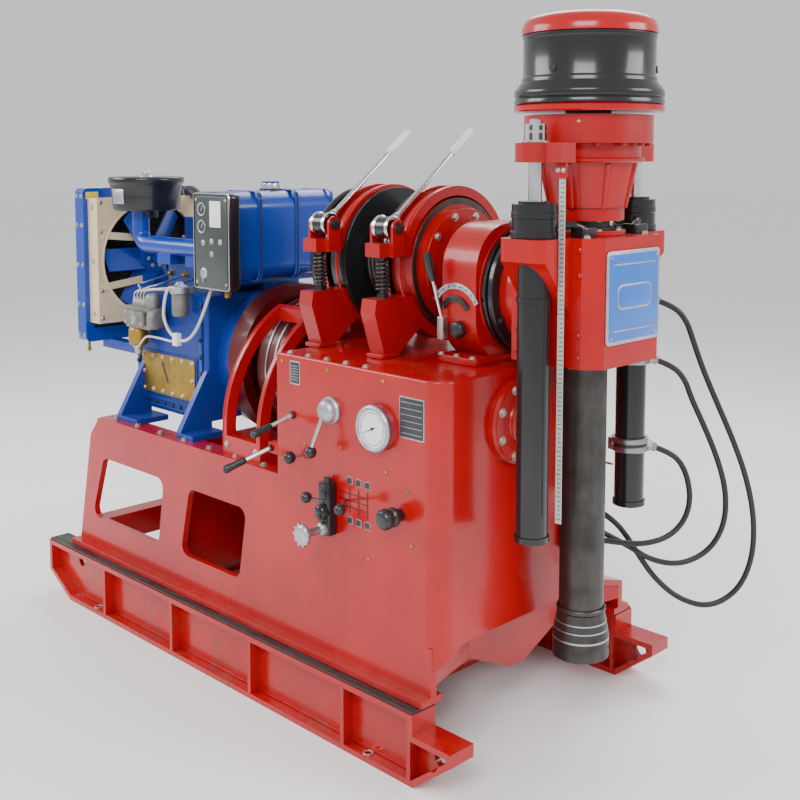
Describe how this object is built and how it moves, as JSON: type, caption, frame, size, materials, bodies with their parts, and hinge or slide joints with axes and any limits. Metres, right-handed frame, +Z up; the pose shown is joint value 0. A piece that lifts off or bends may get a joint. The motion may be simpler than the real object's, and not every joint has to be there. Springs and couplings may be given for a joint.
{
  "type": "skid-mounted spindle core drilling rig",
  "caption": "Red diesel core drilling rig on a steel skid, with a swivelling spindle head, hydraulic feed, hoist drum and sliding bed.",
  "frame": {"origin": "on the ground, at the centre of the four skid anchor holes", "axes": "+X forward towards the spindle, +Z up along the spindle, -Y is the side with the gauge and levers"},
  "size_m": [2.0639, 0.9143, 1.71],
  "materials": {
    "red_paint": "gloss",
    "black_paint": "semi-gloss",
    "blue_paint": "gloss",
    "dark_red_paint": "satin",
    "cream_paint": "satin",
    "machined_steel": "satin",
    "bright_rod": "polished",
    "grey_casting": "matte",
    "hose_rubber": "matte",
    "pale_rule": "satin",
    "blue_plate": "satin"
  },
  "bodies": {
    "skid": {"skid_rail_near": "red_paint", "skid_rail_far": "red_paint", "skid_cross_members": "red_paint", "slide_strips": "black_paint", "travel_barrel": "black_paint"},
    "carriage": {"travel_rod": "bright_rod", "bed_side_near": "red_paint", "bed_side_far": "red_paint", "bed_cross_members": "red_paint", "front_cross_plate": "red_paint", "gear_housing": "red_paint", "front_cover": "red_paint", "pressure_gauge": "black_paint", "panel_controls": "black_paint", "shift_levers": "bright_rod", "engine_block": "blue_paint", "engine_head": "blue_paint", "injection_pump": "grey_casting", "intake_pipe": "blue_paint", "air_cleaner": "black_paint", "radiator": "blue_paint", "fan_shroud": "cream_paint", "fuel_tank": "blue_paint", "instrument_box": "black_paint", "clutch_guards": "red_paint", "hoist_shaft": "red_paint", "brake_bands": "red_paint", "head_pedestal": "red_paint", "hose_fittings": "machined_steel"},
    "fan": {"fan": "blue_paint"},
    "drive_line": {"flywheel": "dark_red_paint", "clutch_drum": "dark_red_paint"},
    "hoist_drum": {"hoist_drum": "black_paint"},
    "lift_wheel": {"lift_wheel": "red_paint"},
    "hoist_lever_rear": {"hoist_lever_rear": "bright_rod"},
    "hoist_lever_front": {"hoist_lever_front": "bright_rod"},
    "spindle_head": {"spindle_head": "red_paint", "swivel_ring": "black_paint", "feed_barrels": "black_paint", "badge_plate": "blue_plate", "hose_ports": "machined_steel", "hose_long": "hose_rubber", "hose_middle": "hose_rubber", "hose_short": "hose_rubber"},
    "crosshead": {"crosshead": "red_paint", "feed_rods": "bright_rod", "depth_rule": "pale_rule"},
    "spindle": {"spindle_tube": "machined_steel", "chuck": "black_paint", "chuck_covers": "red_paint"}
  },
  "joints": [
    {"name": "bed_travel", "type": "slide", "parent": "skid", "child": "carriage", "axis": [1, 0, 0], "range_m": [-0.46, 0]},
    {"name": "fan_spin", "type": "hinge", "parent": "carriage", "child": "fan", "pos_m": [-0.84, -0.04, 1.046], "axis": [1, 0, 0], "continuous": true},
    {"name": "engine_spin", "type": "hinge", "parent": "carriage", "child": "drive_line", "pos_m": [0, 0, 0.79], "axis": [1, 0, 0], "continuous": true},
    {"name": "drum_spin", "type": "hinge", "parent": "carriage", "child": "hoist_drum", "pos_m": [0.34, 0, 1.115], "axis": [1, 0, 0], "continuous": true},
    {"name": "lift_wheel_spin", "type": "hinge", "parent": "carriage", "child": "lift_wheel", "pos_m": [0.5, 0, 1.115], "axis": [1, 0, 0], "continuous": true},
    {"name": "rear_brake_lever", "type": "hinge", "parent": "carriage", "child": "hoist_lever_rear", "pos_m": [0.235, -0.216, 1.214], "axis": [1, 0, 0], "range_deg": [0, 65]},
    {"name": "front_brake_lever", "type": "hinge", "parent": "carriage", "child": "hoist_lever_front", "pos_m": [0.465, -0.216, 1.214], "axis": [1, 0, 0], "range_deg": [0, 65]},
    {"name": "head_swivel", "type": "hinge", "parent": "carriage", "child": "spindle_head", "pos_m": [0.895, 0, 1.07], "axis": [1, 0, 0], "range_deg": [-90, 90]},
    {"name": "feed_stroke", "type": "slide", "parent": "spindle_head", "child": "crosshead", "axis": [0, 0, 1], "range_m": [0, 0.56]},
    {"name": "spindle_spin", "type": "hinge", "parent": "crosshead", "child": "spindle", "pos_m": [0.895, 0, 1.4], "axis": [0, 0, 1], "continuous": true}
  ]
}
